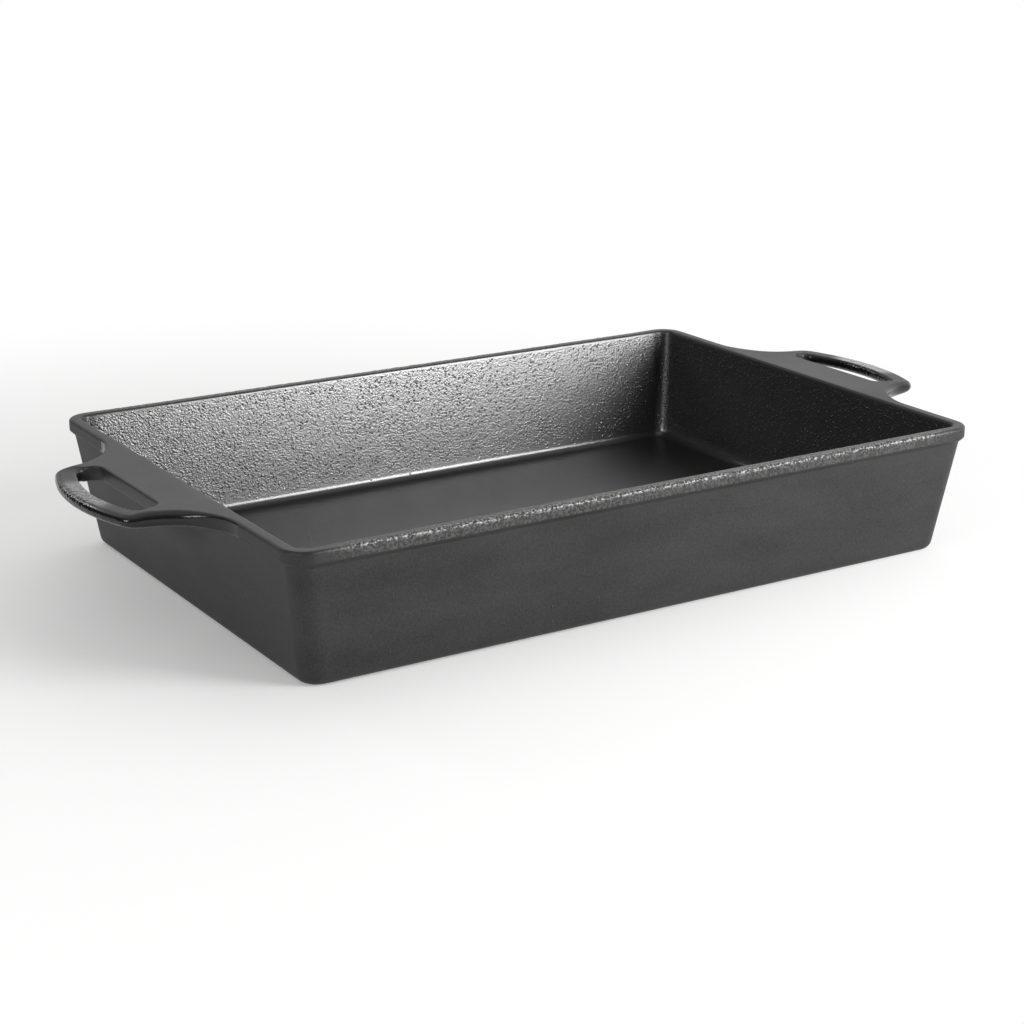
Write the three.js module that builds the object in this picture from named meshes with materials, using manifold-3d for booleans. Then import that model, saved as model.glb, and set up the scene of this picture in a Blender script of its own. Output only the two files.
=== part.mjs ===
// Casserole pan in black seasoned iron, cast in one pour with a loop handle at each end.
// Millimetres, +Z up. The origin is the middle of the underside, and X runs from handle to handle.
// The casting is modelled whole, then parted into the regions that a cook names on it: the floor,
// the side wall, the rim and the two handles. They meet face to face.
import * as THREE from 'three';
import Module from 'manifold-3d';

const wasm = await Module();
wasm.setup();

// Overall sizes of the pan, without its handles.
const panHeight = 59.6; // underside to the top of the rim
const rimLength = 345; // along X, over the rim
const rimWidth = 237; // along Y, over the rim
const rimCorner = 11; // plan radius of the rim's outer corners

// Rim band, which stands out beyond the wall.
const rimBand = 5.2; // height of its upright outer face
const rimStep = 2.3; // how far it stands out beyond the wall
const rimUndercut = 2.3; // height of the sloped face under the band
const rimRound = 1.3; // radius along its two top edges

// Side wall and floor.
const wallThickness = 4.3; // level thickness, the same from floor to rim
const wallDraft = 7.8; // degrees that the wall leans out
const wallCorner = 9; // plan radius of the wall's outer corners
const cavityCorner = 5.5; // plan radius of the cavity's corners
const floorThickness = 4.2;
const floorFillet = 4; // radius between the floor and the wall, inside
const baseRound = 4; // radius between the underside and the wall, outside

// Loop handles. Their flat tops lie level with the rim, and the grip bar dips below it.
const handleReach = 41.3; // from the rim's face to the outermost point of the grip
const handleRoot = 144; // length along the rim, over the root fillets
const handleFillet = 31.6; // plan radius where a handle leaves the rim
const handleTaper = 10; // degrees that each side leans in, going out
const handleCorner = 3.5; // plan radius of the outer corners
const handleBow = 101.5; // plan radius of the bowed outer edge
const tabReach = 24; // from the rim's face to where the flat tab starts to turn into the grip bar
const tabThickness = 6.8; // at the flat root
const tabRound = 1.5; // edge radius at the flat root
const armWidth = 8; // width of the loop at each side of the finger slot
const gripRun = 13; // further out, where the turn into the bar is complete
const gripWidth = 9.4; // width of the oval bar across the end of the finger slot
const gripThickness = 5.5;
const gripFlat = 0.6; // width left flat between the rounded edges of the bar
const gripDip = 0.9; // from the rim's top plane down to the top of the bar
const slotSetback = 15.8; // from the rim's face to the finger slot
const slotCorner = 5.5; // plan radius of the slot's corners by the pan
const slotEndCorner = 5; // plan radius of the slot's corners by the grip
const slotStraight = 0.5; // shortest straight stretch between those two corners

// Where the regions of the casting part.
const handleParting = 0.5; // outside the rim's face, where the root fillets end bluntly
const rimParting = 0.5; // below the foot of the rim's undercut
const floorParting = 1; // inside the edge of the flat floor

// How finely the round stretches are stepped.
const planSteps = 8; // for each plan corner of the pan
const roundSteps = 4; // for each edge round
const filletSteps = 8; // for each root fillet of a handle
const cornerSteps = 5; // for each outer corner of a handle
const bowSteps = 4; // for each half of the bowed edge

const { degToRad, lerp, smoothstep } = THREE.MathUtils;
const draft = degToRad(wallDraft);
const rimFoot = panHeight - rimBand - rimUndercut; // height where the rim's undercut meets the wall

// Points on an oval arc or a round one, from one angle to another.
function ovalArc(center, radii, from, to, steps) {
  return Array.from({ length: steps + 1 }, (_, i) => {
    const angle = lerp(from, to, i / steps);
    return new THREE.Vector2(Math.cos(angle), Math.sin(angle)).multiply(radii).add(center);
  });
}

function arc(center, radius, from, to, steps) {
  return ovalArc(center, new THREE.Vector2(radius, radius), from, to, steps);
}

// Closed surface through rings of points with equal counts. The rings either close on each other
// or are capped with a fan at both ends.
function loft(rings, closed) {
  const count = rings[0].length;
  const points = rings.flat();
  const triangles = [];
  const spans = closed ? rings.length : rings.length - 1;
  for (let i = 0; i < spans; i++) {
    const here = i * count;
    const next = ((i + 1) % rings.length) * count;
    for (let j = 0; j < count; j++) {
      const k = (j + 1) % count;
      triangles.push(here + j, here + k, next + k);
      triangles.push(here + j, next + k, next + j);
    }
  }
  if (!closed) {
    const last = (rings.length - 1) * count;
    for (let j = 1; j < count - 1; j++) {
      triangles.push(0, j + 1, j);
      triangles.push(last, last + j, last + j + 1);
    }
  }
  const geometry = new THREE.BufferGeometry().setFromPoints(points);
  geometry.setIndex(triangles);
  return geometry;
}

function solidOf(geometry) {
  const vertProperties = new Float32Array(geometry.attributes.position.array);
  const triVerts = new Uint32Array(geometry.index.array);
  return new wasm.Manifold(new wasm.Mesh({ numProp: 3, vertProperties, triVerts }));
}

// Level ring round the pan: the rim's outline moved in by an inset, with its own corner radius.
function panRing({ inset, z, corner }) {
  const x = rimLength / 2 - inset - corner;
  const y = rimWidth / 2 - inset - corner;
  const centers = [[x, y], [-x, y], [-x, -y], [x, -y]];
  const ring = centers.flatMap(([cx, cy], quarter) => {
    const start = quarter * Math.PI / 2;
    return arc(new THREE.Vector2(cx, cy), corner, start, start + Math.PI / 2, planSteps);
  });
  return ring.map((point) => new THREE.Vector3(point.x, point.y, z));
}

// Insets of the wall's outer face and of the cavity at a height.
const wallInset = (z) => rimStep + (rimFoot - z) * Math.tan(draft);
const cavityInset = (z) => wallInset(z) + wallThickness;

// Stations along an edge round of the pan's section. Angles are measured from straight out, and the
// plan corner tightens by as much as the round moves in from the face it belongs to.
function edgeRound({ inset, z, radius, from, to, face, corner }) {
  const section = arc(new THREE.Vector2(0, 0), radius, from, to, roundSteps);
  return section.map((point) => {
    const station = { inset: inset - point.x, z: z + point.y };
    return { ...station, corner: corner - (station.inset - face(station.z)) };
  });
}

// Section of the pan from its underside, up the outside, over the rim and down to the floor.
function panSection() {
  const straightOut = () => 0;
  const lean = 1 / Math.cos(draft);
  const rimTop = panHeight - rimRound;
  const filletTop = floorThickness + floorFillet;
  return [
    ...edgeRound({
      inset: wallInset(baseRound) + baseRound * lean, z: baseRound, radius: baseRound,
      from: -Math.PI / 2, to: -draft, face: wallInset, corner: wallCorner,
    }),
    { inset: rimStep, z: rimFoot, corner: wallCorner },
    { inset: 0, z: panHeight - rimBand, corner: rimCorner },
    ...edgeRound({
      inset: rimRound, z: rimTop, radius: rimRound,
      from: 0, to: Math.PI / 2, face: straightOut, corner: rimCorner,
    }),
    ...edgeRound({
      inset: cavityInset(rimTop) - rimRound * lean, z: rimTop, radius: rimRound,
      from: Math.PI / 2, to: Math.PI - draft, face: cavityInset, corner: cavityCorner,
    }),
    ...edgeRound({
      inset: cavityInset(filletTop) + floorFillet * lean, z: filletTop, radius: floorFillet,
      from: -draft, to: -Math.PI / 2, face: cavityInset, corner: cavityCorner,
    }),
  ];
}

// Plan of a handle, in distances out from the rim's face and along it. The outer edge and the slot
// run through the same stretches, so that each point of one faces a point of the other.
const taper = degToRad(handleTaper);
const sideRun = new THREE.Vector2(Math.cos(taper), -Math.sin(taper));
const sideIn = new THREE.Vector2(-Math.sin(taper), -Math.cos(taper));
const filletCenter = new THREE.Vector2(handleFillet, handleRoot / 2);
const filletEnd = filletCenter.clone().addScaledVector(sideIn, handleFillet);
const bowCenter = new THREE.Vector2(handleReach - handleBow, 0);

// Arc between a side and the bowed edge, each moved in by its own inset, and the half bow after it.
function outerCorner(sideInset, bowInset, radius) {
  const start = filletEnd.clone().addScaledVector(sideIn, sideInset + radius);
  const span = start.clone().sub(bowCenter);
  const along = span.dot(sideRun);
  const reach = handleBow - bowInset - radius;
  const run = -along + Math.sqrt(along ** 2 - span.lengthSq() + reach ** 2);
  const center = start.addScaledVector(sideRun, run);
  const bowAngle = center.clone().sub(bowCenter).angle();
  const corner = arc(center, radius, Math.PI / 2 - taper, bowAngle, cornerSteps);
  const bow = arc(bowCenter, handleBow - bowInset, bowAngle, 0, bowSteps);
  return [...corner, ...bow.slice(1)];
}

// Half of the handle's outer edge, starting inside the rim so that the tab's top joins the rim's top.
function outerHalf() {
  const rootInside = rimRound + 2 * tabRound;
  const fillet = arc(filletCenter, handleFillet, Math.PI, Math.PI * 1.5 - taper, filletSteps);
  return [
    new THREE.Vector2(-rootInside, handleRoot / 2 - rootInside),
    ...fillet,
    ...outerCorner(0, 0, handleCorner),
  ];
}

// Half of the finger slot's edge. The corner by the pan stays short of the corner by the grip.
function slotHalf() {
  const end = outerCorner(armWidth, gripWidth, slotEndCorner);
  const room = (end[0].x - slotStraight - slotSetback) / (1 + Math.sin(taper));
  const radius = Math.min(slotCorner, room);
  const start = filletEnd.clone().addScaledVector(sideIn, armWidth + radius);
  const run = (slotSetback + radius - start.x) / sideRun.x;
  const center = start.addScaledVector(sideRun, run);
  const corner = arc(center, radius, Math.PI, Math.PI / 2 - taper, filletSteps);
  const rootEnd = corner[0].clone();
  rootEnd.y -= radius;
  return [rootEnd, ...corner, ...end];
}

// Section of a handle between a point of the slot and the facing point of the outer edge. It is a
// flat tab with small edge rounds at the root, and a dipped oval bar at the grip.
function handleSection(slotPoint, outerPoint, grip) {
  const top = panHeight - gripDip * grip;
  const thickness = lerp(tabThickness, gripThickness, grip);
  const across = outerPoint.clone().sub(slotPoint);
  const width = across.length();
  across.normalize();
  const edge = new THREE.Vector2(
    lerp(tabRound, (width - gripFlat) / 2, grip),
    lerp(tabRound, (thickness - gripFlat) / 2, grip),
  );
  const low = top - thickness + edge.y;
  const high = top - edge.y;
  const centers = [[width - edge.x, high], [edge.x, high], [edge.x, low], [width - edge.x, low]];
  const section = centers.flatMap(([cx, cz], quarter) => {
    const start = quarter * Math.PI / 2;
    return ovalArc(new THREE.Vector2(cx, cz), edge, start, start + Math.PI / 2, roundSteps);
  });
  return section.map((point) => {
    const plan = slotPoint.clone().addScaledVector(across, point.x);
    return new THREE.Vector3(rimLength / 2 + plan.x, plan.y, point.y);
  });
}

// Handle as a loop of sections round its finger slot.
function handleLoop() {
  const outer = outerHalf();
  const slot = slotHalf();
  const upper = outer.map((outerPoint, i) => {
    const grip = smoothstep(outerPoint.x, tabReach, tabReach + gripRun);
    return { outerPoint, slotPoint: slot[i], grip };
  });
  const flip = (point) => new THREE.Vector2(point.x, -point.y);
  const lower = upper.slice(0, -1).reverse().map(({ outerPoint, slotPoint, grip }) => {
    return { outerPoint: flip(outerPoint), slotPoint: flip(slotPoint), grip };
  });
  const sections = [...upper, ...lower];
  return loft(sections.map((s) => handleSection(s.slotPoint, s.outerPoint, s.grip)), true);
}

// The whole casting.
const section = panSection();
const handle = handleLoop();
const casting = solidOf(loft(section.map(panRing), false))
  .add(solidOf(handle))
  .add(solidOf(handle.clone().rotateZ(Math.PI)));

// Part the handles off outside the rim's face, the rim off the wall, and the flat floor out of it.
const handlePlane = rimLength / 2 + handleParting;
const [rightHandle, withoutRight] = casting.splitByPlane([1, 0, 0], handlePlane);
const [leftHandle, pan] = withoutRight.splitByPlane([-1, 0, 0], handlePlane);
const [rim, tub] = pan.splitByPlane([0, 0, 1], rimFoot - rimParting);
const floorEdge = section.at(-1);
const floorPlan = { inset: floorEdge.inset + floorParting, corner: floorEdge.corner };
const floorCore = solidOf(loft([
  panRing({ ...floorPlan, z: -floorThickness }),
  panRing({ ...floorPlan, z: floorThickness * 2 }),
], false));
const panFloor = tub.intersect(floorCore);
const sideWall = tub.subtract(floorCore);

function iron(color, roughness) {
  return new THREE.MeshStandardMaterial({ color, roughness, metalness: 0.35 });
}

function node(name, solid, material) {
  const { vertProperties, triVerts } = solid.getMesh();
  const geometry = new THREE.BufferGeometry();
  geometry.setAttribute('position', new THREE.BufferAttribute(vertProperties, 3));
  geometry.setIndex(new THREE.BufferAttribute(triVerts, 1));
  geometry.computeVertexNormals();
  const mesh = new THREE.Mesh(geometry, material);
  mesh.name = name;
  return mesh;
}

const casserolePan = new THREE.Group();
casserolePan.add(node('pan_floor', panFloor, iron('#2b2b2a', 0.42)));
casserolePan.add(node('side_wall', sideWall, iron('#2c2c2c', 0.55)));
casserolePan.add(node('rim', rim, iron('#313130', 0.48)));
casserolePan.add(node('left_handle', leftHandle, iron('#30302f', 0.4)));
casserolePan.add(node('right_handle', rightHandle, iron('#30302f', 0.4)));

export default casserolePan;
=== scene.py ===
import math

import bmesh
import bpy
import numpy as np
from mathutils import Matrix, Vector


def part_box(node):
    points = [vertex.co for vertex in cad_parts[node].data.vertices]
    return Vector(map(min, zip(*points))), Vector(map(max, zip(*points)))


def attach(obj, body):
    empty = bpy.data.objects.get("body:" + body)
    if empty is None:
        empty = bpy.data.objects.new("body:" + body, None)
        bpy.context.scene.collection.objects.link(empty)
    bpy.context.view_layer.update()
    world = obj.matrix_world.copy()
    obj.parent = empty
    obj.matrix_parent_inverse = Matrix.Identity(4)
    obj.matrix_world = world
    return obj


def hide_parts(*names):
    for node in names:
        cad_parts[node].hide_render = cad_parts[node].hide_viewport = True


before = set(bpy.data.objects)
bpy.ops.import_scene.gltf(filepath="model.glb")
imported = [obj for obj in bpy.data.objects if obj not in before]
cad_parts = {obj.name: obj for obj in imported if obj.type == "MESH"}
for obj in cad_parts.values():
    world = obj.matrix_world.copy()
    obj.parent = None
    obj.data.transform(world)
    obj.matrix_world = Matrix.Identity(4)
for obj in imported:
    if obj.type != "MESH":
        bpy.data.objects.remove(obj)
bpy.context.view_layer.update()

mm = 0.001

# What the frame gives: every outer size of the pan
rimLow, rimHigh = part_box("rim")
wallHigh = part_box("side_wall")[1]
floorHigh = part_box("pan_floor")[1]
handleLow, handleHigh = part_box("right_handle")
handleParting = 0.5  # mm outside the rim's face, where the handles part from it
panHeight = rimHigh.z / mm
halfLength = rimHigh.x / mm - handleParting
halfWidth = rimHigh.y / mm
partingHeight = wallHigh.z / mm
floorThickness = floorHigh.z / mm
handleReach = handleHigh.x / mm - halfLength
tabThickness = panHeight - handleLow.z / mm
print("frame read: rim", 2 * halfLength, "x", 2 * halfWidth, "mm, height", panHeight)


# sRGB hex to linear
def linear(hexColor):
    parts = [int(hexColor[i:i + 2], 16) / 255 for i in (1, 3, 5)]
    return [c / 12.92 if c <= 0.04045 else ((c + 0.055) / 1.055) ** 2.4 for c in parts] + [1.0]


# Adds a node with its settings, and sets or links its inputs
def addNode(tree, kind, settings=None, inputs=None):
    node = tree.nodes.new(kind)
    for name, value in (settings or {}).items():
        setattr(node, name, value)
    for key, value in (inputs or {}).items():
        if isinstance(value, bpy.types.NodeSocket):
            tree.links.new(value, node.inputs[key])
        else:
            node.inputs[key].default_value = value
    return node


def newObject(name, mesh):
    obj = bpy.data.objects.new(name, mesh)
    bpy.context.scene.collection.objects.link(obj)
    return obj


finishMasks = ("pebbles", "gloss", "nicks", "oiled")  # stored on the meshes, read by the material

# Seasoned iron: cast in a sand mould, so its skin is grainy, then black from oil baked on in thin films.
# The eye gets a near-black satin with soft grey reflections, pebbles inside and gloss where hands rub it.
seasoning = {
    "blackHex": "#191919",
    "oilHex": "#303030",       # patches of thicker film
    "mottle": (0.7, 1.3),      # span of patches and grain together, from black to oil
    "deepShadeHex": "#111111",      # inner walls and polished handles: blackest oil film, darkened further as painted shade
    "edgeBareGlintHex": "#68665b",      # thin film on the grains of the rough edge, a little olive, and light as a painted glint
    "ior": 1.44,               # baked oil
    "coatIor": 2.3,            # set so that the second film mirrors more than oil alone
    "patchMm": (52, 17),       # length and height of the patches of thicker film, wiped on along the walls
    "patchSpan": (0.2, 0.8),   # span of the patches that runs over the roughness below
    "roughness": (0.45, 0.62),
    "glossRoughness": 0.14,    # on the grips and the handles' sides
    "coatRoughness": 0.29,     # second film of oil, from use, inside the pan and along the rim's edge
    "edgeCoat": 0.8,           # share of it on the grains of that edge
    "grainMm": 0.8,            # sand grain; finer sand would not show from here
    "grainDepthMm": 0.04,
    "pebbleMm": (1.15, 0.9),   # length and height of a pebble on the inner walls
    "pebbleDepthMm": 0.08,
    "pebbleGrain": 2.4,        # how much of the height is loose grain between the pebbles
    "pebbleWarp": 0.6,         # how far the pebbles are pulled out of round
    "pebbleBlend": 0.4,        # how far neighbours melt together
    "gritMm": 2.0,             # spacing and size of the steep grains among the pebbles
    "gritSizeMm": 0.7,
    "gritDepthMm": 0.24,
    "edgeMm": 1.1,             # grains along the rough edge of the rim
    "edgeDepthMm": 0.5,
    "edgeTops": (0.42, 0.62),  # heights over which the tops of these grains show bare, with a painted glint
    "speckMm": 7.0,            # spacing and size of stray sand specks
    "speckSizeMm": 0.6,
    "speckDepthMm": 0.2,
    "lumpMm": 1.7,             # lumps on the glossy grips
    "lumpDepthMm": 0.45,
    "lumpGloss": 0.9,          # gloss above which they set in
}


def seasonedIron(name, look):
    material = bpy.data.materials.new(name)
    material.use_nodes = True
    tree = material.node_tree
    tree.nodes.clear()
    coords = addNode(tree, "ShaderNodeTexCoord")
    inMm = addNode(tree, "ShaderNodeVectorMath", {"operation": "SCALE"},
                   {0: coords.outputs["Object"], "Scale": 1 / mm})
    place = inMm.outputs["Vector"]
    masks = {mask: addNode(tree, "ShaderNodeAttribute", {"attribute_name": mask}).outputs["Fac"]
             for mask in finishMasks}

    # patches of thicker oil film tint the black and vary the gloss
    long, high = look["patchMm"]
    wiped = addNode(tree, "ShaderNodeMapping", None,
                    {"Vector": place, "Scale": (1 / long, 1 / long, 1 / high)})
    patches = addNode(tree, "ShaderNodeTexNoise", None,
                      {"Vector": wiped.outputs["Vector"], "Scale": 1.0, "Detail": 3.0, "Roughness": 0.5})
    grain = addNode(tree, "ShaderNodeTexNoise", None,
                    {"Vector": place, "Scale": 1 / look["grainMm"], "Detail": 2.0})
    mottled = addNode(tree, "ShaderNodeMath", {"operation": "ADD"},
                      {0: patches.outputs["Fac"], 1: grain.outputs["Fac"]})
    mottled = addNode(tree, "ShaderNodeMapRange", None,
                      {"Value": mottled.outputs[0], "From Min": look["mottle"][0],
                       "From Max": look["mottle"][1]})
    film = addNode(tree, "ShaderNodeMix", {"data_type": "RGBA"},
                   {0: mottled.outputs[0], 6: linear(look["blackHex"]), 7: linear(look["oilHex"])})
    # inner walls and glossy parts take the blackest film: partly thick oil, partly painted shade for the
    # dark they reflect
    shadeShare = addNode(tree, "ShaderNodeMath", {"operation": "MAXIMUM"},
                   {0: masks["pebbles"], 1: masks["gloss"]})
    film = addNode(tree, "ShaderNodeMix", {"data_type": "RGBA"},
                   {0: shadeShare.outputs[0], 6: film.outputs[2], 7: linear(look["deepShadeHex"])})

    # along the rough edge the tops of the grains show bare and light, partly a painted glint, and the pits
    # between them stay black
    edge = addNode(tree, "ShaderNodeTexNoise", None,
                   {"Vector": place, "Scale": 1 / look["edgeMm"], "Detail": 2.0, "Roughness": 0.6})
    grains = addNode(tree, "ShaderNodeMapRange", {"interpolation_type": "SMOOTHSTEP"},
                     {"Value": edge.outputs["Fac"], "From Min": look["edgeTops"][0],
                      "From Max": look["edgeTops"][1]})
    bareGlint = addNode(tree, "ShaderNodeMath", {"operation": "MULTIPLY"},
                    {0: grains.outputs[0], 1: masks["nicks"]})
    color = addNode(tree, "ShaderNodeMix", {"data_type": "RGBA"},
                    {0: bareGlint.outputs[0], 6: film.outputs[2], 7: linear(look["edgeBareGlintHex"])})
    satin = addNode(tree, "ShaderNodeMapRange", None,
                    {"Value": patches.outputs["Fac"], "From Min": look["patchSpan"][0],
                     "From Max": look["patchSpan"][1],
                     "To Min": look["roughness"][0], "To Max": look["roughness"][1]})
    rough = addNode(tree, "ShaderNodeMix", {"data_type": "FLOAT"},
                    {0: masks["gloss"], 2: satin.outputs["Result"], 3: look["glossRoughness"]})

    # heights: sand grain all over, pebbles on the inner walls, grains along the rim's edge, lumps on grips
    long, high = look["pebbleMm"]
    flatten = addNode(tree, "ShaderNodeMapping", None,
                      {"Vector": place, "Scale": (1 / long, 1 / long, 1 / high)})
    warp = addNode(tree, "ShaderNodeTexNoise", None, {"Vector": place, "Scale": 0.5 / high, "Detail": 2.0})
    warped = addNode(tree, "ShaderNodeVectorMath", {"operation": "MULTIPLY_ADD"},
                     {0: warp.outputs["Color"], 1: [look["pebbleWarp"]] * 3, 2: flatten.outputs["Vector"]})
    pebble = addNode(tree, "ShaderNodeTexVoronoi", {"feature": "SMOOTH_F1"},
                     {"Vector": warped.outputs["Vector"], "Scale": 1.0, "Smoothness": look["pebbleBlend"]})
    pebble = addNode(tree, "ShaderNodeMapRange", None,
                     {"Value": pebble.outputs["Distance"], "To Min": 1.0, "To Max": 0.0})
    loose = addNode(tree, "ShaderNodeTexNoise", None,
                    {"Vector": flatten.outputs["Vector"], "Scale": 1.1, "Detail": 2.5, "Roughness": 0.65})
    pebble = addNode(tree, "ShaderNodeMath", {"operation": "MULTIPLY_ADD"},
                     {0: loose.outputs["Fac"], 1: look["pebbleGrain"], 2: pebble.outputs["Result"]})
    dots = {}
    for kind in ("speck", "grit"):
        spacing = look[kind + "Mm"]
        spots = addNode(tree, "ShaderNodeTexVoronoi", {"feature": "F1"},
                        {"Vector": place, "Scale": 1 / spacing})
        spots = addNode(tree, "ShaderNodeMapRange", {"interpolation_type": "SMOOTHSTEP"},
                        {"Value": spots.outputs["Distance"], "From Min": 0.0,
                         "From Max": look[kind + "SizeMm"] / spacing, "To Min": 1.0, "To Max": 0.0})
        dots[kind] = spots.outputs["Result"]
    lump = addNode(tree, "ShaderNodeTexNoise", None,
                   {"Vector": place, "Scale": 1 / look["lumpMm"], "Detail": 2.0})
    lumps = addNode(tree, "ShaderNodeMapRange", None,
                    {"Value": masks["gloss"], "From Min": look["lumpGloss"],
                     "From Max": 1.0}).outputs["Result"]
    normal = None
    for height, depth, strength in ((grain.outputs["Fac"], "grain", 1.0), (dots["speck"], "speck", 1.0),
                                    (pebble.outputs[0], "pebble", masks["pebbles"]),
                                    (dots["grit"], "grit", masks["pebbles"]),
                                    (edge.outputs["Fac"], "edge", masks["nicks"]),
                                    (lump.outputs["Fac"], "lump", lumps)):
        bump = addNode(tree, "ShaderNodeBump", None,
                       {"Height": height, "Strength": strength, "Distance": look[depth + "DepthMm"] * mm})
        if normal:
            tree.links.new(normal, bump.inputs["Normal"])
        normal = bump.outputs["Normal"]

    coat = addNode(tree, "ShaderNodeMath", {"operation": "MULTIPLY"},
                   {0: bareGlint.outputs[0], 1: look["edgeCoat"]})
    coat = addNode(tree, "ShaderNodeMath", {"operation": "MAXIMUM"},
                   {0: masks["oiled"], 1: coat.outputs[0]})
    shader = addNode(tree, "ShaderNodeBsdfPrincipled", None,
                     {"Base Color": color.outputs[2], "Roughness": rough.outputs[0], "IOR": look["ior"],
                      "Coat Weight": coat.outputs[0], "Coat Roughness": look["coatRoughness"],
                      "Coat IOR": look["coatIor"], "Normal": normal, "Coat Normal": normal})
    addNode(tree, "ShaderNodeOutputMaterial", None, {"Surface": shader.outputs["BSDF"]})
    return material


iron = seasonedIron("seasoned_sand_cast_iron", seasoning)
print("material made:", iron.name)


# Points on an arc of a section or a plan
def arc(center, radius, start, end, steps):
    angles = np.linspace(math.radians(start), math.radians(end), steps + 1)
    return np.stack([center[0] + radius * np.cos(angles), center[1] + radius * np.sin(angles)], axis=1)


# Section of the pan. A station holds its inset from the rim's outline, its height and its corner radius
panShape = {
    "rimCorner": 11.0, "rimBand": 5.2, "rimStep": 2.3, "rimUndercut": 2.3, "rimRound": 1.3,
    "bandRound": 0.9,          # along the lower edge of the band
    "bandLift": 0.414,         # height of that round's centre above the sharp corner, per radius
    "wallThickness": 4.3, "wallDraft": 7.8, "wallCorner": 9.0, "cavityCorner": 5.5,
    "floorFillet": 4.0, "baseRound": 4.0, "floorParting": 1.0,
    "topDrop": 0.01,           # keeps the rim's top a hair under the handle tabs that run into it
    "ringStep": 1.2,           # spacing of points round the pan
    "cornerSteps": 24,         # points on each corner of the outline, before they are spaced evenly
    "mergeMm": 0.002,          # joins the two ends of the sweep
    "wallStep": 4.0, "rimPointStep": 0.8,
    "roundSteps": 6,
}
draft = math.radians(panShape["wallDraft"])
lean = 1 / math.cos(draft)
rimFoot = panHeight - panShape["rimBand"] - panShape["rimUndercut"]


def wallInset(z):
    return panShape["rimStep"] + (rimFoot - z) * math.tan(draft)


def cavityInset(z):
    return wallInset(z) + panShape["wallThickness"]


# Stations along a straight stretch, without its first point
def stretch(start, end, step):
    count = max(1, math.ceil(math.dist(start[:2], end[:2]) / step))
    first, last = np.array(start), np.array(end)
    return [tuple(first + (last - first) * k / count) for k in range(1, count + 1)]


# Stations along an edge round: the corner tightens as the round moves in from its face
def edgeRound(inset, z, radius, start, end, face, corner):
    points = arc((0, 0), radius, start, end, panShape["roundSteps"])
    stations = [(inset - x, z + y) for x, y in points]
    return [(s, h, corner - (s - face(h))) for s, h in stations]


def rimSection():
    s = panShape
    top = panHeight - s["topDrop"]
    roundZ = top - s["rimRound"]
    bandFoot = panHeight - s["rimBand"]
    leanDeg = s["wallDraft"]
    outer = [(wallInset(partingHeight), partingHeight, s["wallCorner"])]
    outer += stretch(outer[-1], (s["rimStep"], rimFoot, s["wallCorner"]), s["rimPointStep"])
    under = edgeRound(s["bandRound"], bandFoot + s["bandRound"] * s["bandLift"], s["bandRound"], -45, 0,
                      lambda z: 0, s["rimCorner"])
    outer += stretch(outer[-1], under[0], s["rimPointStep"]) + under[1:]
    topOuter = edgeRound(s["rimRound"], roundZ, s["rimRound"], 0, 90, lambda z: 0, s["rimCorner"])
    topInner = edgeRound(cavityInset(roundZ) - s["rimRound"] * lean, roundZ, s["rimRound"],
                         90, 180 - leanDeg, cavityInset, s["cavityCorner"])
    outer += stretch(outer[-1], topOuter[0], s["rimPointStep"]) + topOuter[1:]
    outer += stretch(outer[-1], topInner[0], s["rimPointStep"]) + topInner[1:]
    foot = (cavityInset(partingHeight), partingHeight, s["cavityCorner"])
    outer += stretch(outer[-1], foot, s["rimPointStep"])
    return outer + stretch(foot, outer[0], s["wallThickness"])


def wallSection():
    s = panShape
    leanDeg = s["wallDraft"]
    filletTop = floorThickness + s["floorFillet"]
    base = edgeRound(wallInset(s["baseRound"]) + s["baseRound"] * lean, s["baseRound"], s["baseRound"],
                     -leanDeg, -90, wallInset, s["wallCorner"])
    fillet = edgeRound(cavityInset(filletTop) + s["floorFillet"] * lean, filletTop, s["floorFillet"],
                       -90, -leanDeg, cavityInset, s["cavityCorner"])
    floorInset = fillet[0][0] + s["floorParting"]
    floorCorner = fillet[0][2]
    section = [(wallInset(partingHeight), partingHeight, s["wallCorner"])]
    section += stretch(section[-1], base[0], s["wallStep"]) + base[1:]
    section += stretch(section[-1], (floorInset, 0, floorCorner), s["wallStep"])
    section += stretch(section[-1], (floorInset, floorThickness, floorCorner), floorThickness)
    section += fillet
    foot = (cavityInset(partingHeight), partingHeight, s["cavityCorner"])
    section += stretch(section[-1], foot, s["wallStep"])
    return section + stretch(foot, section[0], s["wallThickness"])


def floorSection():
    ring = [p for p in wallSection() if abs(p[0] - floorEdge[0]) < 1e-6]
    return [ring[0], ring[-1]]


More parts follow.
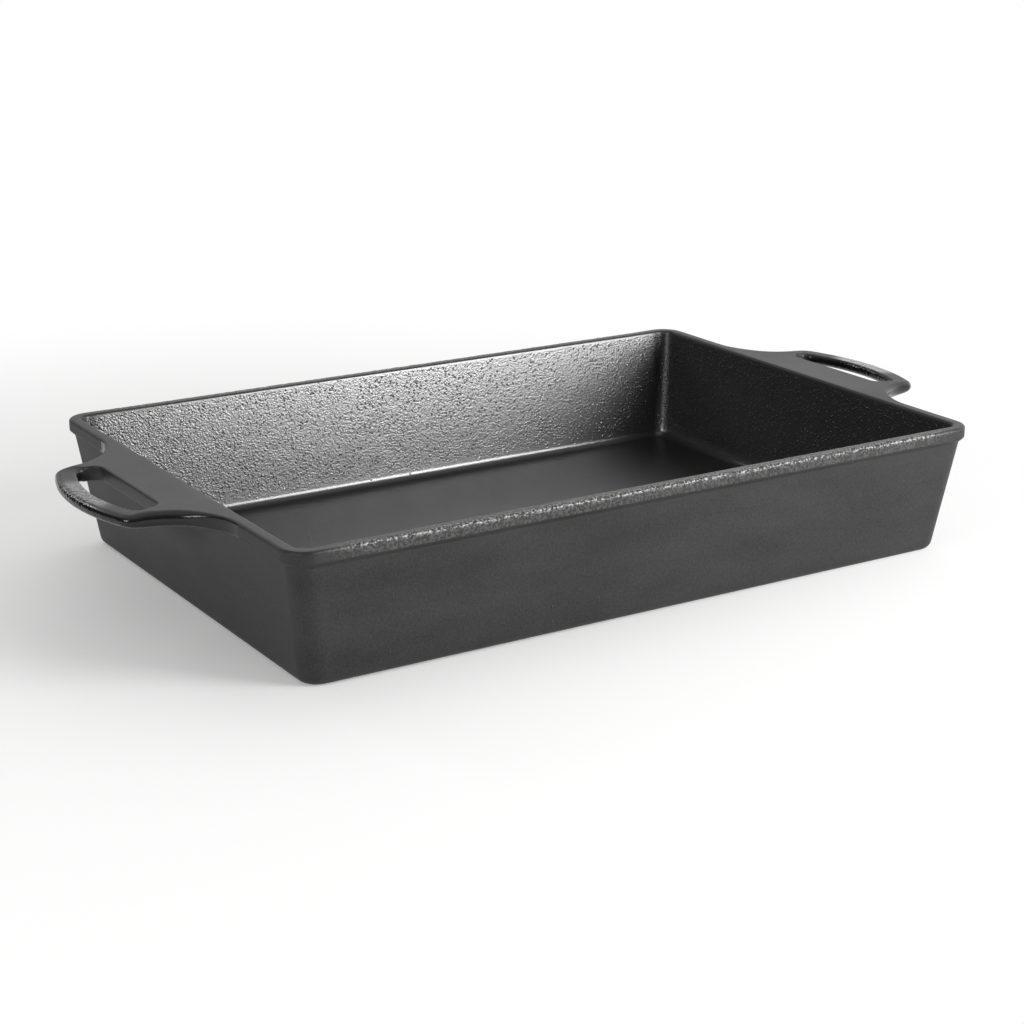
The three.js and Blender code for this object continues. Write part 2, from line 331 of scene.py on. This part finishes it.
# Geometry Nodes: sweeps a section round the pan. Each station moves the corner centres in by its inset
# and rounds them with its own radius.
def sweepTree():
    tree = bpy.data.node_groups.new("sweep_round_pan", "GeometryNodeTree")
    for name, kind in (("Section", "Geometry"), ("Length", "Float"), ("Width", "Float"),
                       ("Corner", "Float"), ("Step", "Float"), ("Material", "Material")):
        tree.interface.new_socket(name, in_out="INPUT", socket_type="NodeSocket" + kind)
    tree.interface.new_socket("Piece", in_out="OUTPUT", socket_type="NodeSocketGeometry")
    given = addNode(tree, "NodeGroupInput").outputs
    outline = addNode(tree, "GeometryNodeCurvePrimitiveQuadrilateral", {"mode": "RECTANGLE"},
                      {"Width": given["Length"], "Height": given["Width"]})
    rounded = addNode(tree, "GeometryNodeFilletCurve", {"mode": "POLY"},
                      {"Curve": outline.outputs[0], "Count": panShape["cornerSteps"],
                       "Radius": given["Corner"]})
    ring = addNode(tree, "GeometryNodeResampleCurve", {"mode": "LENGTH"},
                   {"Curve": rounded.outputs[0], "Length": given["Step"]}).outputs[0]
    ringCount = addNode(tree, "GeometryNodeAttributeDomainSize", {"component": "CURVE"},
                        {0: ring}).outputs["Point Count"]
    stationCount = addNode(tree, "GeometryNodeAttributeDomainSize", {"component": "MESH"},
                           {0: given["Section"]}).outputs["Point Count"]
    columns = addNode(tree, "ShaderNodeMath", {"operation": "ADD"}, {0: ringCount, 1: 1.0}).outputs[0]
    grid = addNode(tree, "GeometryNodeMeshGrid", None, {"Vertices X": stationCount, "Vertices Y": columns})
    index = addNode(tree, "GeometryNodeInputIndex").outputs[0]
    row = addNode(tree, "ShaderNodeMath", {"operation": "DIVIDE"}, {0: index, 1: columns})
    station = addNode(tree, "ShaderNodeMath", {"operation": "FLOOR"}, {0: row.outputs[0]}).outputs[0]
    column = addNode(tree, "ShaderNodeMath", {"operation": "MODULO"}, {0: index, 1: columns})
    around = addNode(tree, "ShaderNodeMath", {"operation": "MODULO"},
                     {0: column.outputs[0], 1: ringCount}).outputs[0]

    # where the corner centre is for each point of the outline, and which way the outline faces there
    place = addNode(tree, "GeometryNodeInputPosition").outputs[0]
    half = addNode(tree, "ShaderNodeCombineXYZ", None, {"X": given["Length"], "Y": given["Width"]})
    half = addNode(tree, "ShaderNodeVectorMath", {"operation": "SCALE"}, {0: half.outputs[0], "Scale": 0.5})
    cornerXy = addNode(tree, "ShaderNodeCombineXYZ", None, {"X": given["Corner"], "Y": given["Corner"]})
    core = addNode(tree, "ShaderNodeVectorMath", {"operation": "SUBTRACT"},
                   {0: half.outputs[0], 1: cornerXy.outputs[0]}).outputs[0]
    coreLow = addNode(tree, "ShaderNodeVectorMath", {"operation": "SCALE"}, {0: core, "Scale": -1.0})
    center = addNode(tree, "ShaderNodeVectorMath", {"operation": "MINIMUM"}, {0: place, 1: core})
    center = addNode(tree, "ShaderNodeVectorMath", {"operation": "MAXIMUM"},
                     {0: center.outputs[0], 1: coreLow.outputs[0]}).outputs[0]
    facing = addNode(tree, "ShaderNodeVectorMath", {"operation": "SUBTRACT"}, {0: place, 1: center})
    facing = addNode(tree, "ShaderNodeVectorMath", {"operation": "NORMALIZE"}, {0: facing.outputs[0]})
    share = addNode(tree, "ShaderNodeVectorMath", {"operation": "DIVIDE"}, {0: center, 1: core})
    vectorSample = {"data_type": "FLOAT_VECTOR", "domain": "POINT"}
    shareAt = addNode(tree, "GeometryNodeSampleIndex", vectorSample,
                      {"Geometry": ring, "Value": share.outputs[0], "Index": around}).outputs[0]
    facingAt = addNode(tree, "GeometryNodeSampleIndex", vectorSample,
                       {"Geometry": ring, "Value": facing.outputs[0], "Index": around}).outputs[0]
    stationAt = addNode(tree, "GeometryNodeSampleIndex", vectorSample,
                        {"Geometry": given["Section"], "Value": place, "Index": station}).outputs[0]

    part = addNode(tree, "ShaderNodeSeparateXYZ", None, {0: stationAt}).outputs
    inward = addNode(tree, "ShaderNodeMath", {"operation": "ADD"}, {0: part["X"], 1: part["Z"]}).outputs[0]
    inwardXy = addNode(tree, "ShaderNodeCombineXYZ", None, {"X": inward, "Y": inward})
    reach = addNode(tree, "ShaderNodeVectorMath", {"operation": "SUBTRACT"},
                    {0: half.outputs[0], 1: inwardXy.outputs[0]})
    base = addNode(tree, "ShaderNodeVectorMath", {"operation": "MULTIPLY"},
                   {0: shareAt, 1: reach.outputs[0]})
    turn = addNode(tree, "ShaderNodeVectorMath", {"operation": "SCALE"}, {0: facingAt, "Scale": part["Z"]})
    flat = addNode(tree, "ShaderNodeVectorMath", {"operation": "ADD"},
                   {0: base.outputs[0], 1: turn.outputs[0]})
    height = addNode(tree, "ShaderNodeCombineXYZ", None, {"Z": part["Y"]})
    point = addNode(tree, "ShaderNodeVectorMath", {"operation": "ADD"},
                    {0: flat.outputs[0], 1: height.outputs[0]})
    swept = addNode(tree, "GeometryNodeSetPosition", None,
                    {"Geometry": grid.outputs["Mesh"], "Position": point.outputs[0]}).outputs[0]
    for name in finishMasks:
        mask = addNode(tree, "GeometryNodeInputNamedAttribute", {"data_type": "FLOAT"}, {"Name": name})
        value = addNode(tree, "GeometryNodeSampleIndex", {"data_type": "FLOAT", "domain": "POINT"},
                        {"Geometry": given["Section"], "Value": mask.outputs[0], "Index": station})
        swept = addNode(tree, "GeometryNodeStoreNamedAttribute", {"data_type": "FLOAT", "domain": "POINT"},
                        {"Geometry": swept, "Name": name, "Value": value.outputs[0]}).outputs[0]
    joined = addNode(tree, "GeometryNodeMergeByDistance", None,
                     {"Geometry": swept, "Distance": panShape["mergeMm"] * mm})
    real = addNode(tree, "GeometryNodeRealizeInstances", None, {"Geometry": joined.outputs[0]})
    done = addNode(tree, "GeometryNodeSetMaterial", None,
                   {"Geometry": real.outputs[0], "Material": given["Material"]})
    addNode(tree, "NodeGroupOutput", None, {0: done.outputs[0]})
    return tree


# Geometry Nodes: the skin of the casting, with nicks along the edges that were left rough
castSkin = {"nickMm": 2.6, "nickDepthMm": 0.35, "nickSpan": (0.35, 0.75), "sharpDeg": 32}


def skinTree(look):
    tree = bpy.data.node_groups.new("cast_skin", "GeometryNodeTree")
    for name, kind in (("Piece", "Geometry"), ("Nick Size", "Float"), ("Nick Depth", "Float"),
                       ("Material", "Material")):
        tree.interface.new_socket(name, in_out="INPUT", socket_type="NodeSocket" + kind)
    tree.interface.new_socket("Piece", in_out="OUTPUT", socket_type="NodeSocketGeometry")
    given = addNode(tree, "NodeGroupInput").outputs
    nicks = addNode(tree, "GeometryNodeInputNamedAttribute", {"data_type": "FLOAT"}, {"Name": "nicks"})
    place = addNode(tree, "GeometryNodeInputPosition").outputs[0]
    scale = addNode(tree, "ShaderNodeMath", {"operation": "DIVIDE"}, {0: 1.0, 1: given["Nick Size"]})
    noise = addNode(tree, "ShaderNodeTexNoise", None,
                    {"Vector": place, "Scale": scale.outputs[0], "Detail": 2.0, "Roughness": 0.6})
    sink = addNode(tree, "ShaderNodeMapRange", None,
                   {"Value": noise.outputs["Fac"], "From Min": look["nickSpan"][0],
                    "From Max": look["nickSpan"][1], "To Min": 0.0, "To Max": -1.0})
    depth = addNode(tree, "ShaderNodeMath", {"operation": "MULTIPLY"},
                    {0: sink.outputs[0], 1: given["Nick Depth"]})
    depth = addNode(tree, "ShaderNodeMath", {"operation": "MULTIPLY"},
                    {0: depth.outputs[0], 1: nicks.outputs[0]})
    normal = addNode(tree, "GeometryNodeInputNormal").outputs[0]
    offset = addNode(tree, "ShaderNodeVectorMath", {"operation": "SCALE"},
                     {0: normal, "Scale": depth.outputs[0]})
    rough = addNode(tree, "GeometryNodeSetPosition", None,
                    {"Geometry": given["Piece"], "Offset": offset.outputs[0]})
    angle = addNode(tree, "GeometryNodeInputMeshEdgeAngle").outputs[0]
    soft = addNode(tree, "FunctionNodeCompare", {"data_type": "FLOAT", "operation": "LESS_THAN"},
                   {0: angle, 1: math.radians(look["sharpDeg"])})
    smooth = addNode(tree, "GeometryNodeSetShadeSmooth", {"domain": "FACE"},
                     {"Geometry": rough.outputs[0], "Shade Smooth": True})
    smooth = addNode(tree, "GeometryNodeSetShadeSmooth", {"domain": "EDGE"},
                     {"Geometry": smooth.outputs[0], "Shade Smooth": soft.outputs[0]})
    real = addNode(tree, "GeometryNodeRealizeInstances", None, {"Geometry": smooth.outputs[0]})
    done = addNode(tree, "GeometryNodeSetMaterial", None,
                   {"Geometry": real.outputs[0], "Material": given["Material"]})
    addNode(tree, "NodeGroupOutput", None, {0: done.outputs[0]})
    return tree


# Adds a tree to a piece, sets its inputs by identifier, bakes the result and takes the modifier off
def bakeTree(obj, tree, values):
    modifier = obj.modifiers.new(tree.name, "NODES")
    modifier.node_group = tree
    for item in tree.interface.items_tree:
        if item.in_out == "INPUT" and item.name in values:
            modifier[item.identifier] = values[item.name]
    bpy.context.view_layer.update()
    evaluated = obj.evaluated_get(bpy.context.evaluated_depsgraph_get())
    mesh = bpy.data.meshes.new_from_object(evaluated)
    obj.modifiers.remove(modifier)
    obj.data = mesh
    return obj


# Closes open ends and turns the faces outwards
def closePiece(obj):
    shape = bmesh.new()
    shape.from_mesh(obj.data)
    openEdges = [edge for edge in shape.edges if edge.is_boundary]
    if openEdges:
        bmesh.ops.holes_fill(shape, edges=openEdges, sides=0)
    bmesh.ops.recalc_face_normals(shape, faces=shape.faces)
    if shape.calc_volume(signed=True) < 0:
        bmesh.ops.reverse_faces(shape, faces=shape.faces)
    shape.to_mesh(obj.data)
    shape.free()


roundPan = sweepTree()
skin = skinTree(castSkin)


def smoothstep(value, low, high):
    t = np.clip((value - low) / (high - low), 0, 1)
    return t * t * (3 - 2 * t)


# Where the finish changes on the rim, wall and floor, in mm
panFinish = {
    "pebbleFoot": (1.5, 7.0),      # above the floor, where the pebbles set in
    "pebbleTop": (0.8, 2.5),       # below the rim's top, where they end
    "edgeAt": 0.4, "edgeReach": 2.5,   # the rough edge: its middle, in from the outer corner, and its reach
    "bandNicks": 0.2,              # roughness of the rest of the band
    "topFlat": 0.5,                # depth of the rim's top, which is rough too
    "oilTop": (0.3, 1.5),          # below the rim's top, where the oil film ends
    "floorWiped": 0.9,             # share of the oil film that is wiped off the floor
    "floorGloss": 0.4,
    "roughSide": (7, 9),           # in from the long sides, where the rough edge stops
    "roughEnd": (9, 34),           # in from the ends, where it sets in
    "shortWall": (12, 17),         # in from the ends, where the short walls stop
    "shortWiped": 0.75,            # share of the oil film that the short walls lack
}


# Finish along a section: pebbles, oil and floor gloss inside, nicks on the rim's band and top
def sectionFinish(station):
    f = panFinish
    inset, z, _ = station
    above = z - floorThickness
    below = panHeight - z
    inner = float(inset > (wallInset(z) + cavityInset(z)) / 2)
    pebbles = inner * smoothstep(above, *f["pebbleFoot"]) * smoothstep(below, *f["pebbleTop"])
    nicks = 0.0
    if below < panShape["rimBand"] and (below < f["topFlat"] or not inner):
        fromEdge = math.dist((inset, below), (f["edgeAt"], f["edgeAt"]))
        nicks = max(1 - fromEdge / f["edgeReach"], f["bandNicks"])
    onFloor = inner * (1 - smoothstep(above, 0, panShape["floorFillet"]))
    oiled = inner * smoothstep(below, *f["oilTop"]) * (1 - f["floorWiped"] * onFloor)
    return pebbles, f["floorGloss"] * onFloor, nicks, oiled


# The rim's edge is left rough along the long sides and rubbed smooth towards the corners,
# and the short walls keep less oil
def rubCorners(obj):
    f = panFinish
    points = np.empty(len(obj.data.vertices) * 3, np.float32)
    obj.data.vertices.foreach_get("co", points)
    x, y = (np.abs(points.reshape(-1, 3)[:, k]) / mm for k in (0, 1))
    fromEnd = halfLength - x
    rough = (1 - smoothstep(halfWidth - y, *f["roughSide"])) * smoothstep(fromEnd, *f["roughEnd"])
    keptOil = 1 - f["shortWiped"] * (1 - smoothstep(fromEnd, *f["shortWall"]))
    for attribute, share in (("nicks", rough), ("oiled", keptOil)):
        layer = obj.data.attributes[attribute].data
        values = np.empty(len(layer), np.float32)
        layer.foreach_get("value", values)
        layer.foreach_set("value", (values * share).astype(np.float32))


def sweptPiece(name, section):
    mesh = bpy.data.meshes.new(name + "_section")
    mesh.from_pydata([(s * mm, z * mm, corner * mm) for s, z, corner in section],
                     [(k, k + 1) for k in range(len(section) - 1)], [])
    finish = np.array([sectionFinish(station) for station in section])
    for k, attribute in enumerate(finishMasks):
        layer = mesh.attributes.new(attribute, "FLOAT", "POINT")
        layer.data.foreach_set("value", finish[:, k].astype(np.float32))
    obj = newObject(name, mesh)
    bakeTree(obj, roundPan, {"Length": 2 * halfLength * mm, "Width": 2 * halfWidth * mm,
                             "Corner": panShape["rimCorner"] * mm, "Step": panShape["ringStep"] * mm,
                             "Material": iron})
    closePiece(obj)
    rubCorners(obj)
    bakeTree(obj, skin, {"Nick Size": castSkin["nickMm"] * mm, "Nick Depth": castSkin["nickDepthMm"] * mm,
                         "Material": iron})
    print("swept", name, len(obj.data.polygons), "faces")
    return obj


wallStations = wallSection()
floorEdge = max(wallStations, key=lambda p: p[0])
rimCasting = sweptPiece("rim_casting", rimSection())
wallCasting = sweptPiece("wall_casting", wallStations)
floorCasting = sweptPiece("floor_casting", floorSection())

# Handle: a flat tab level with the rim that turns into an oval bar across the end of the finger slot
handleShape = {
    "root": 144.0, "fillet": 31.6, "taper": 10.0, "corner": 6.5, "bow": 101.5,
    "arm": 8.0, "slotSetback": 15.8, "slotCorner": 5.5, "slotEndCorner": 5.0,
    "tabRound": 1.3, "armRound": 3.2, "slotRound": 0.9, "underRound": 1.5,
    "tabReach": 24.0, "gripRun": 13.0, "gripWidth": 9.4, "gripThickness": 5.5, "gripFlat": 0.6,
    "gripDip": 0.9,
    "swell": (1.0, 14.0),      # from the rim, over which the sides swell to a full bullnose
    "sideGloss": 0.9, "slotGloss": 0.2,      # polish on the sides of the arms and in the slot, which also blackens them as painted shade
    "barOuter": 0.7, "barInner": 0.4,        # share of the bar's half width that each top round takes
    "wornTurn": (0.3, 1.1),    # radians up an edge round over which its polish gives way to the satin top
    "gripSpan": (13, 27),      # each way from the bar's middle, where hands keep its top polished too
    "buried": 4.2,             # how far the root runs into the rim
    "tuck": 0.03,              # the root fillets start this far inside the rim's face
    "hold": 0.4, "gripHold": 0.3,   # narrow flat beside each edge round, and its share of the bar's flat
    "slotShare": 2.0,          # length of slot that the buried root's line and its end each fan out to
    "pointStep": 0.8, "leastPoints": 10, "roundSteps": 6,
}


# Points spaced evenly along a path made of several stretches
def evenly(path, count):
    path = np.array(path)
    run = np.concatenate([[0], np.cumsum(np.linalg.norm(np.diff(path[:, :2], axis=0), axis=1))])
    at = np.linspace(0, run[-1], count + 1)
    return np.stack([np.interp(at, run, path[:, k]) for k in range(path.shape[1])], axis=1)


# Plan of half a handle. Each row holds a point of the outer edge and its outward direction,
# then the facing point of the slot and the direction from it into the iron.
def handlePlan():
    h = handleShape
    taper = math.radians(h["taper"])
    run = np.array([math.cos(taper), -math.sin(taper)])
    inward = np.array([-math.sin(taper), -math.cos(taper)])
    fine = 64

    def withFacing(points, center, sign):
        facing = sign * (points - center)
        return np.hstack([points, facing / np.linalg.norm(facing, axis=1)[:, None]])

    filletCenter = np.array([h["fillet"] - h["tuck"], h["root"] / 2])
    fillet = withFacing(arc(filletCenter, h["fillet"], 180, 270 - h["taper"], fine), filletCenter, -1)
    sideStart = fillet[-1, :2]
    endCenter = np.array([-h["tuck"] - h["buried"] / 2, h["root"] / 2])
    rootEnd = withFacing(arc(endCenter, h["buried"] / 2, 180, 0, fine), endCenter, 1)
    rootLine = np.vstack([[rootEnd[0, 0], 0, -1, 0], rootEnd[0]])

    bowCenter = np.array([handleReach - h["bow"], 0])

    def corner(sideInset, bowInset, radius):
        start = sideStart + inward * (sideInset + radius)
        span = start - bowCenter
        along = span @ run
        reach = h["bow"] - bowInset - radius
        center = start + run * (-along + math.sqrt(along ** 2 - span @ span + reach ** 2))
        bowAngle = math.degrees(math.atan2(center[1] - bowCenter[1], center[0] - bowCenter[0]))
        bend = withFacing(arc(center, radius, 90 - h["taper"], bowAngle, fine), center, 1)
        bow = withFacing(arc(bowCenter, h["bow"] - bowInset, bowAngle, 0, fine), bowCenter, 1)
        return bend, bow

    outerBend, outerBow = corner(0, 0, h["corner"])
    slotBend, slotBow = corner(h["arm"], h["gripWidth"], h["slotEndCorner"])
    start = sideStart + inward * (h["arm"] + h["slotCorner"])
    slotCenter = start + run * (h["slotSetback"] + h["slotCorner"] - start[0]) / run[0]
    slotCorner = withFacing(arc(slotCenter, h["slotCorner"], 180, 90 - h["taper"], fine), slotCenter, 1)
    slotLine = [[h["slotSetback"], h["slotShare"] * k, -1, 0] for k in range(3)]
    slotEnd = np.vstack([slotLine[2:], slotCorner])
    outerSide = np.vstack([fillet[-1], outerBend[0]])
    slotSide = np.vstack([slotCorner[-1], slotBend[0]])

    rows = []
    pairs = ((rootLine, slotLine[:2]), (rootEnd, slotLine[1:]), (fillet, slotEnd),
             (outerSide, slotSide), (outerBend, slotBend), (outerBow, slotBow))
    for outer, slot in pairs:
        length = np.linalg.norm(np.diff(outer[:, :2], axis=0), axis=1).sum()
        count = max(h["leastPoints"], math.ceil(length / h["pointStep"]))
        stretchRows = np.hstack([evenly(outer, count), evenly(slot, count)])
        rows.append(stretchRows[1:] if rows else stretchRows)
    return np.vstack(rows)


def handleMesh(name, turned):
    h = handleShape
    half = handlePlan()
    flip = np.array([1, -1] * 4)
    plan = np.vstack([half, (half[1:-1] * flip)[::-1]])
    outer, outerFacing, slot, slotFacing = (plan[:, k:k + 2] for k in (0, 2, 4, 6))
    across = slot - outer
    width = np.linalg.norm(across, axis=1)[:, None]
    across = across / width
    grip = smoothstep(outer[:, :1], h["tabReach"], h["tabReach"] + h["gripRun"])

    def mixed(a, b):
        return a * (1 - grip) + b * grip

    def unit(v):
        return v / np.linalg.norm(v, axis=1)[:, None]

    fromOuter = unit(mixed(-outerFacing, across))
    fromSlot = unit(mixed(slotFacing, -across))
    top = panHeight - h["gripDip"] * grip
    thickness = mixed(tabThickness, h["gripThickness"])
    halfBar = (width - h["gripFlat"]) / 2
    halfHigh = (thickness - h["gripFlat"]) / 2
    hold = mixed(h["hold"], h["gripFlat"] * h["gripHold"])
    bulge = smoothstep(outer[:, :1], *h["swell"])
    outerTop = h["tabRound"] + (h["armRound"] - h["tabRound"]) * bulge
    outerUnder = h["underRound"] + (h["armRound"] - h["underRound"]) * bulge
    held = grip * (1 - smoothstep(np.abs(outer[:, 1:]), *h["gripSpan"]))
    rings, glosses, kinds = [], [], []

    # worn is 1 on top and 0 on the sides and underneath, which keep their polish
    def addRing(point, z, polish, worn, kind="round"):
        kinds.append(kind)
        rings.append(np.hstack([point, z * np.ones_like(grip)]))
        glosses.append(np.maximum(polish, grip) * (1 - worn * (1 - held)))

    # one edge round: from its upright face to the flat, or back
    def edge(base, direction, radius, share, polish, isTop, toFlat):
        wide = mixed(radius, halfBar * share)
        high = mixed(radius, halfHigh)
        turns = np.linspace(0, math.pi / 2, h["roundSteps"] + 1)
        for turn in turns if toFlat else turns[::-1]:
            drop = high * (1 - math.sin(turn))
            z = top - drop if isTop else top - thickness + drop
            worn = isTop * float(smoothstep(turn, *h["wornTurn"]))
            addRing(base + direction * wide * (1 - math.cos(turn)), z, polish, worn)

    def support(base, direction, radius, share, polish, isTop):
        z = top if isTop else top - thickness
        wide = mixed(radius, halfBar * share) + hold
        addRing(base + direction * wide, z, polish, float(isTop), "support")

    # once round the section: over the top to the slot, down its wall and back underneath
    outerSide = (outer, fromOuter)
    slotSide = (slot, fromSlot)
    overTop = ((*outerSide, outerTop, h["barOuter"], h["sideGloss"], True),
               (*slotSide, h["slotRound"], h["barInner"], h["slotGloss"], True))
    underneath = ((*slotSide, h["underRound"], 1.0, h["slotGloss"], False),
                  (*outerSide, outerUnder, 1.0, h["sideGloss"], False))
    for first, second in (overTop, underneath):
        edge(*first, True)
        support(*first)
        support(*second)
        edge(*second, False)

    points = np.stack(rings, axis=1)
    points[:, :, 0] += halfLength
    points[:, :, :2] *= -1 if turned else 1
    stations, ringSize = points.shape[:2]
    rootCount = int(np.argmax(half[:, 0] > h["tabReach"])) - 1
    root = [i % stations for i in range(-rootCount, rootCount + 1)]
    flats = [k for k in range(ringSize - 1) if kinds[k] == kinds[k + 1] == "support"]
    faces = []
    for i in range(stations):
        for k in range(ringSize):
            here, there = i * ringSize, (i + 1) % stations * ringSize
            if k not in flats or i not in root[:-1]:
                faces.append((here + k, here + (k + 1) % ringSize, there + (k + 1) % ringSize, there + k))
    for k in flats:  # the flat top and underside of the tab are one face each
        faces.append([i * ringSize + k for i in root] + [i * ringSize + k + 1 for i in root[::-1]])
    mesh = bpy.data.meshes.new(name)
    mesh.from_pydata((points.reshape(-1, 3) * mm).tolist(), [], faces)
    gloss = np.stack(glosses, axis=1).reshape(-1).astype(np.float32)
    for attribute in finishMasks:
        layer = mesh.attributes.new(attribute, "FLOAT", "POINT")
        layer.data.foreach_set("value", gloss if attribute == "gloss" else gloss * 0)
    obj = newObject(name, mesh)
    closePiece(obj)
    bakeTree(obj, skin, {"Nick Size": castSkin["nickMm"] * mm, "Nick Depth": castSkin["nickDepthMm"] * mm,
                         "Material": iron})
    print("handle", name, len(obj.data.polygons), "faces")
    return obj


leftHandle = handleMesh("left_handle_casting", True)
rightHandle = handleMesh("right_handle_casting", False)

for piece, node in ((floorCasting, "pan_floor"), (wallCasting, "side_wall"), (rimCasting, "rim"),
                    (leftHandle, "left_handle"), (rightHandle, "right_handle")):
    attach(piece, "root")
    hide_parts(node)

# Camera at the photograph's angle
cameraView = {"lensMm": 76.63, "sensorMm": 36.0, "azimuth": -32.01, "elevation": 18.55, "distance": 1.01663,
              "shift": (-0.00257, 0.03126)}


# Direction to a point round the pan: azimuth 0 is in front of it, and positive turns to its right
def direction(azimuth, elevation):
    a, e = math.radians(azimuth), math.radians(elevation)
    return Vector((math.sin(a) * math.cos(e), -math.cos(a) * math.cos(e), math.sin(e)))


camera = bpy.data.cameras.new("photo_camera")
camera.lens = cameraView["lensMm"]
camera.sensor_width = cameraView["sensorMm"]
camera.shift_x, camera.shift_y = cameraView["shift"]
cameraObject = newObject("photo_camera", camera)
cameraObject.location = direction(cameraView["azimuth"], cameraView["elevation"]) * cameraView["distance"]
cameraObject.rotation_euler = (-cameraObject.location).to_track_quat("-Z", "Y").to_euler()
bpy.context.scene.camera = cameraObject

# Studio: pale paper floor, a bright wall behind the pan, a pale ceiling, the dark of the room in front,
# and three soft boxes. Levels are radiance, where 1 is white.
studio = {
    "floorHalf": 30.0, "floorDrop": 0.0002, "floorHex": "#fafaf9",
    "shadeCenter": (-0.12, 0.08, 0),     # middle of the painted shade on the paper, on the pan's shadow side, in metres
    "whiteFrom": 0.15, "whiteTo": 0.5,   # distance from it over which the paper runs out to pure white
    "whiteNear": 0.2,                    # share of white in the shadow
    "roomLevel": 0.08, "wallLevel": 2.1, "wallAzimuth": 120,
    "wallFrom": 0.2, "wallTo": 0.95,     # cosine of the angle from there, over which the wall brightens
    "ceilingLevel": 0.8,
    "ceilingFrom": 0.55,                 # cosine of the angle from straight up, where the ceiling starts
    "boxes": (
        {"name": "key_box", "azimuth": 34.5, "elevation": 19.7, "distance": 1.08,
         "size": (0.44, 0.62), "level": 14},
        {"name": "left_box", "azimuth": -74, "elevation": 22, "distance": 1.6,
         "size": (0.6, 0.18), "level": 24},
        {"name": "back_box", "azimuth": -158, "elevation": 30, "distance": 1.6,
         "size": (0.3, 0.3), "level": 9},
    ),
}


def makeFloor(look):
    h = look["floorHalf"]
    mesh = bpy.data.meshes.new("studio_floor")
    z = -look["floorDrop"]
    mesh.from_pydata([(-h, -h, z), (h, -h, z), (h, h, z), (-h, h, z)], [], [(0, 1, 2, 3)])
    floor = newObject("studio_floor", mesh)
    material = bpy.data.materials.new("matt_paper_sweep")  # matt paper: no gloss, keeps a soft shadow
    material.use_nodes = True
    tree = material.node_tree
    tree.nodes.clear()
    paper = addNode(tree, "ShaderNodeBsdfDiffuse", None, {"Color": linear(look["floorHex"])})
    white = addNode(tree, "ShaderNodeEmission", None, {"Strength": 1.0})
    ray = addNode(tree, "ShaderNodeLightPath").outputs
    seen = addNode(tree, "ShaderNodeMath", {"operation": "MAXIMUM"},
                   {0: ray["Is Camera Ray"], 1: ray["Is Glossy Ray"]})
    seen = addNode(tree, "ShaderNodeMath", {"operation": "MAXIMUM"},
                   {0: seen.outputs[0], 1: ray["Is Transmission Ray"]})
    coords = addNode(tree, "ShaderNodeTexCoord")
    # the white glow thins towards shadeCenter: painted shade at the pan's left and back, painted light in
    # front and to the right
    away = addNode(tree, "ShaderNodeVectorMath", {"operation": "DISTANCE"},
                   {0: coords.outputs["Object"], 1: look["shadeCenter"]})
    share = addNode(tree, "ShaderNodeMapRange", {"interpolation_type": "SMOOTHSTEP"},
                    {"Value": away.outputs["Value"], "From Min": look["whiteFrom"],
                     "From Max": look["whiteTo"], "To Min": look["whiteNear"]})
    lift = addNode(tree, "ShaderNodeMath", {"operation": "MULTIPLY"},
                   {0: seen.outputs[0], 1: share.outputs[0]})
    mix = addNode(tree, "ShaderNodeMixShader", None,
                  {0: lift.outputs[0], 1: paper.outputs[0], 2: white.outputs[0]})
    addNode(tree, "ShaderNodeOutputMaterial", None, {"Surface": mix.outputs[0]})
    mesh.materials.append(material)


def makeSky(look):
    world = bpy.data.worlds.new("studio_sky")
    bpy.context.scene.world = world
    world.use_nodes = True
    tree = world.node_tree
    tree.nodes.clear()
    coords = addNode(tree, "ShaderNodeTexCoord")
    toWall = addNode(tree, "ShaderNodeVectorMath", {"operation": "DOT_PRODUCT"},
                     {0: coords.outputs["Generated"], 1: direction(look["wallAzimuth"], 0)})
    level = addNode(tree, "ShaderNodeMapRange", {"interpolation_type": "SMOOTHSTEP"},
                    {"Value": toWall.outputs["Value"], "From Min": look["wallFrom"],
                     "From Max": look["wallTo"], "To Min": look["roomLevel"], "To Max": look["wallLevel"]})
    up = addNode(tree, "ShaderNodeSeparateXYZ", None, {0: coords.outputs["Generated"]})
    ceiling = addNode(tree, "ShaderNodeMapRange", {"interpolation_type": "SMOOTHSTEP"},
                      {"Value": up.outputs["Z"], "From Min": look["ceilingFrom"], "From Max": 1.0,
                       "To Min": 0.0, "To Max": look["ceilingLevel"]})
    level = addNode(tree, "ShaderNodeMath", {"operation": "MAXIMUM"},
                    {0: level.outputs[0], 1: ceiling.outputs[0]})
    sky = addNode(tree, "ShaderNodeBackground", None, {"Strength": level.outputs[0]})
    addNode(tree, "ShaderNodeOutputWorld", None, {"Surface": sky.outputs[0]})


def makeBoxes(look):
    for box in look["boxes"]:
        light = bpy.data.lights.new(box["name"], "AREA")
        light.shape = "RECTANGLE"
        light.size, light.size_y = box["size"]
        light.energy = box["level"] * math.pi * light.size * light.size_y  # watts for that radiance
        obj = newObject(box["name"], light)
        obj.location = direction(box["azimuth"], box["elevation"]) * box["distance"]
        obj.rotation_euler = (-obj.location).to_track_quat("-Z", "Y").to_euler()


makeFloor(studio)
makeSky(studio)
makeBoxes(studio)
bpy.context.scene.view_settings.view_transform = "Standard"
print("studio set")
